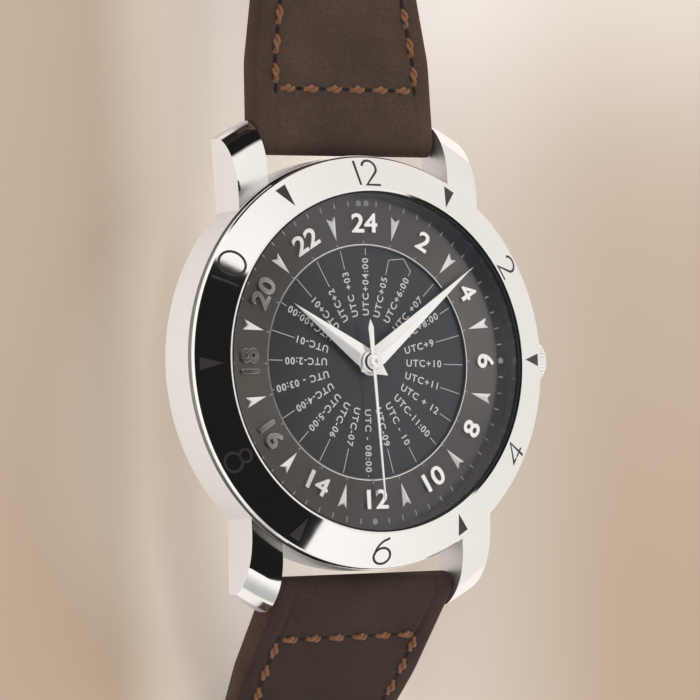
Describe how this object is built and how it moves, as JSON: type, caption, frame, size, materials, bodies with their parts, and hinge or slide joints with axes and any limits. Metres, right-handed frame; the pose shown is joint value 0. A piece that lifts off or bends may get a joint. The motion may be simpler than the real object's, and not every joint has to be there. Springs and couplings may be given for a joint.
{
  "type": "world time wristwatch",
  "caption": "Steel wristwatch with a fixed bezel, a rotating world time disc inside a 24-hour dial, faceted hands, crown and brown leather pin-buckle strap.",
  "frame": {"origin": "centre of the flat case back, where it lies on the wrist", "axes": "+Z out through the dial, +Y towards 12 o'clock along the strap, +X towards 3 o'clock and the crown"},
  "size_m": [0.0424, 0.2238, 0.0216],
  "materials": {
    "mid_case": "fine brushed steel",
    "bezel": "polished steel",
    "crystal": "clear, anti-reflection coat",
    "crystal_gasket": "matte",
    "flange_ring": "fine brushed steel",
    "case_back": "fine brushed steel",
    "back_gasket": "matte",
    "crown_tube": "fine brushed steel",
    "dial_ring": "warm grey sunray lacquer",
    "dial_indices": "polished steel",
    "movement_ring": "fine brushed steel",
    "mainplate": "rhodium plated, satin",
    "barrel_bridge": "rhodium plated, satin",
    "train_bridge": "rhodium plated, satin",
    "balance_cock": "rhodium plated, satin",
    "pallet_bridge": "rhodium plated, satin",
    "bridge_screws": "polished steel",
    "jewels": "polished ruby",
    "module_plate": "fine brushed steel",
    "hairspring": "fine brushed steel",
    "rotor_bearing": "fine brushed steel",
    "spring_bar_upper": "fine brushed steel",
    "spring_bar_lower": "fine brushed steel",
    "cannon_pinion": "fine brushed steel",
    "minute_hand": "polished steel",
    "great_wheel": "satin",
    "minute_wheel": "satin",
    "hour_wheel": "satin",
    "hour_hand": "polished steel",
    "day_idler": "satin",
    "day_wheel": "satin",
    "world_disc": "matte charcoal lacquer",
    "barrel": "satin",
    "third_wheel": "satin",
    "second_wheel": "satin",
    "second_hand": "polished steel",
    "escape_wheel": "fine brushed steel",
    "pallet_fork": "fine brushed steel",
    "balance": "satin",
    "rotor": "satin",
    "crown_stem": "fine brushed steel",
    "crown": "polished steel",
    "strap_upper": "matte nubuck",
    "fixed_keeper": "matte nubuck",
    "strap_lower": "matte nubuck",
    "buckle_frame": "polished steel",
    "buckle_bar": "fine brushed steel",
    "buckle_tang": "polished steel",
    "sliding_keeper": "matte nubuck"
  },
  "bodies": {
    "case": {"mid_case": "mid_case", "bezel": "bezel", "crystal": "crystal", "crystal_gasket": "crystal_gasket", "flange_ring": "flange_ring", "case_back": "case_back", "back_gasket": "back_gasket", "crown_tube": "crown_tube", "dial_ring": "dial_ring", "dial_indices": "dial_indices", "movement_ring": "movement_ring", "mainplate": "mainplate", "barrel_bridge": "barrel_bridge", "train_bridge": "train_bridge", "balance_cock": "balance_cock", "pallet_bridge": "pallet_bridge", "bridge_screws": "bridge_screws", "jewels": "jewels", "module_plate": "module_plate", "hairspring": "hairspring", "rotor_bearing": "rotor_bearing", "spring_bar_upper": "spring_bar_upper", "spring_bar_lower": "spring_bar_lower"},
    "minutes": {"cannon_pinion": "cannon_pinion", "minute_hand": "minute_hand"},
    "great_wheel": {"great_wheel": "great_wheel"},
    "minute_wheel": {"minute_wheel": "minute_wheel"},
    "hours": {"hour_wheel": "hour_wheel", "hour_hand": "hour_hand"},
    "day_idler": {"day_idler": "day_idler"},
    "day": {"day_wheel": "day_wheel", "world_disc": "world_disc"},
    "barrel": {"barrel": "barrel"},
    "third_wheel": {"third_wheel": "third_wheel"},
    "seconds": {"second_wheel": "second_wheel", "second_hand": "second_hand"},
    "escape_wheel": {"escape_wheel": "escape_wheel"},
    "pallet_fork": {"pallet_fork": "pallet_fork"},
    "balance": {"balance": "balance"},
    "rotor": {"rotor": "rotor"},
    "stem": {"crown_stem": "crown_stem"},
    "crown": {"crown": "crown"},
    "strap_upper": {"strap_upper": "strap_upper", "fixed_keeper": "fixed_keeper"},
    "strap_lower": {"strap_lower": "strap_lower"},
    "buckle": {"buckle_frame": "buckle_frame", "buckle_bar": "buckle_bar"},
    "tang": {"buckle_tang": "buckle_tang"},
    "sliding_keeper": {"sliding_keeper": "sliding_keeper"}
  },
  "joints": [
    {"name": "minutes_turn", "type": "hinge", "parent": "case", "child": "minutes", "pos_m": [0, 0, 0.008], "axis": [0, 0, -1], "continuous": true},
    {"name": "great_wheel_turn", "type": "hinge", "parent": "case", "child": "great_wheel", "pos_m": [-0.00015, 0.0049, 0.004], "axis": [0, 0, -1], "continuous": true},
    {"name": "minute_wheel_turn", "type": "hinge", "parent": "case", "child": "minute_wheel", "pos_m": [0.00256, 0.00253, 0.0055], "axis": [0, 0, -1], "continuous": true},
    {"name": "hours_turn", "type": "hinge", "parent": "case", "child": "hours", "pos_m": [0, 0, 0.0075], "axis": [0, 0, -1], "continuous": true},
    {"name": "day_idler_turn", "type": "hinge", "parent": "case", "child": "day_idler", "pos_m": [0.00225, -0.0039, 0.006], "axis": [0, 0, -1], "continuous": true},
    {"name": "day_turn", "type": "hinge", "parent": "case", "child": "day", "pos_m": [0, 0, 0.0068], "axis": [0, 0, -1], "continuous": true},
    {"name": "barrel_turn", "type": "hinge", "parent": "case", "child": "barrel", "pos_m": [0.00605, 0.00605, 0.004], "axis": [0, 0, -1], "continuous": true},
    {"name": "third_wheel_turn", "type": "hinge", "parent": "case", "child": "third_wheel", "pos_m": [-0.00373, 0.00225, 0.004], "axis": [0, 0, -1], "continuous": true},
    {"name": "seconds_turn", "type": "hinge", "parent": "case", "child": "seconds", "pos_m": [0, 0, 0.008], "axis": [0, 0, -1], "continuous": true},
    {"name": "escape_wheel_turn", "type": "hinge", "parent": "case", "child": "escape_wheel", "pos_m": [-0.0014, -0.00287, 0.004], "axis": [0, 0, -1], "continuous": true},
    {"name": "rotor_turn", "type": "hinge", "parent": "case", "child": "rotor", "pos_m": [0, 0, 0.002], "axis": [0, 0, -1], "continuous": true},
    {"name": "balance_swing", "type": "hinge", "parent": "case", "child": "balance", "pos_m": [0, -0.0092, 0.004], "axis": [0, 0, -1], "range_deg": [-270, 270]},
    {"name": "pallet_fork_swing", "type": "hinge", "parent": "case", "child": "pallet_fork", "pos_m": [-0.00085, -0.00534, 0.004], "axis": [0, 0, -1], "range_deg": [-3.5, 3.5]},
    {"name": "crown_pull", "type": "slide", "parent": "case", "child": "stem", "axis": [1, 0, 0], "range_m": [0, 0.001]},
    {"name": "crown_turn", "type": "hinge", "parent": "stem", "child": "crown", "pos_m": [0.01985, 0, 0.0046], "axis": [1, 0, 0], "continuous": true},
    {"name": "strap_upper_hinge", "type": "hinge", "parent": "case", "child": "strap_upper", "pos_m": [0, 0.0222, 0.0036], "axis": [1, 0, 0], "range_deg": [-90, 45]},
    {"name": "strap_lower_hinge", "type": "hinge", "parent": "case", "child": "strap_lower", "pos_m": [0, -0.0222, 0.0036], "axis": [1, 0, 0], "range_deg": [-80, 55]},
    {"name": "buckle_hinge", "type": "hinge", "parent": "strap_upper", "child": "buckle", "pos_m": [0, 0.08558, -0.01], "axis": [1, 0, 0], "range_deg": [-45, 45]},
    {"name": "tang_hinge", "type": "hinge", "parent": "buckle", "child": "tang", "pos_m": [0, 0.08558, -0.01], "axis": [1, 0, 0], "range_deg": [0, 80]},
    {"name": "keeper_slide", "type": "slide", "parent": "strap_upper", "child": "sliding_keeper", "axis": [0, 1, 0], "range_m": [-0.003, 0.0015]}
  ],
  "couplings": [
    {"joint": "great_wheel_turn", "follows": "minutes_turn", "ratio": 1},
    {"joint": "minute_wheel_turn", "follows": "minutes_turn", "ratio": -0.33333},
    {"joint": "hours_turn", "follows": "minutes_turn", "ratio": 0.083333},
    {"joint": "day_idler_turn", "follows": "minutes_turn", "ratio": -0.055556},
    {"joint": "day_turn", "follows": "minutes_turn", "ratio": 0.041667},
    {"joint": "barrel_turn", "follows": "minutes_turn", "ratio": -0.16667},
    {"joint": "third_wheel_turn", "follows": "minutes_turn", "ratio": -7},
    {"joint": "seconds_turn", "follows": "minutes_turn", "ratio": 60},
    {"joint": "escape_wheel_turn", "follows": "minutes_turn", "ratio": -600}
  ]
}
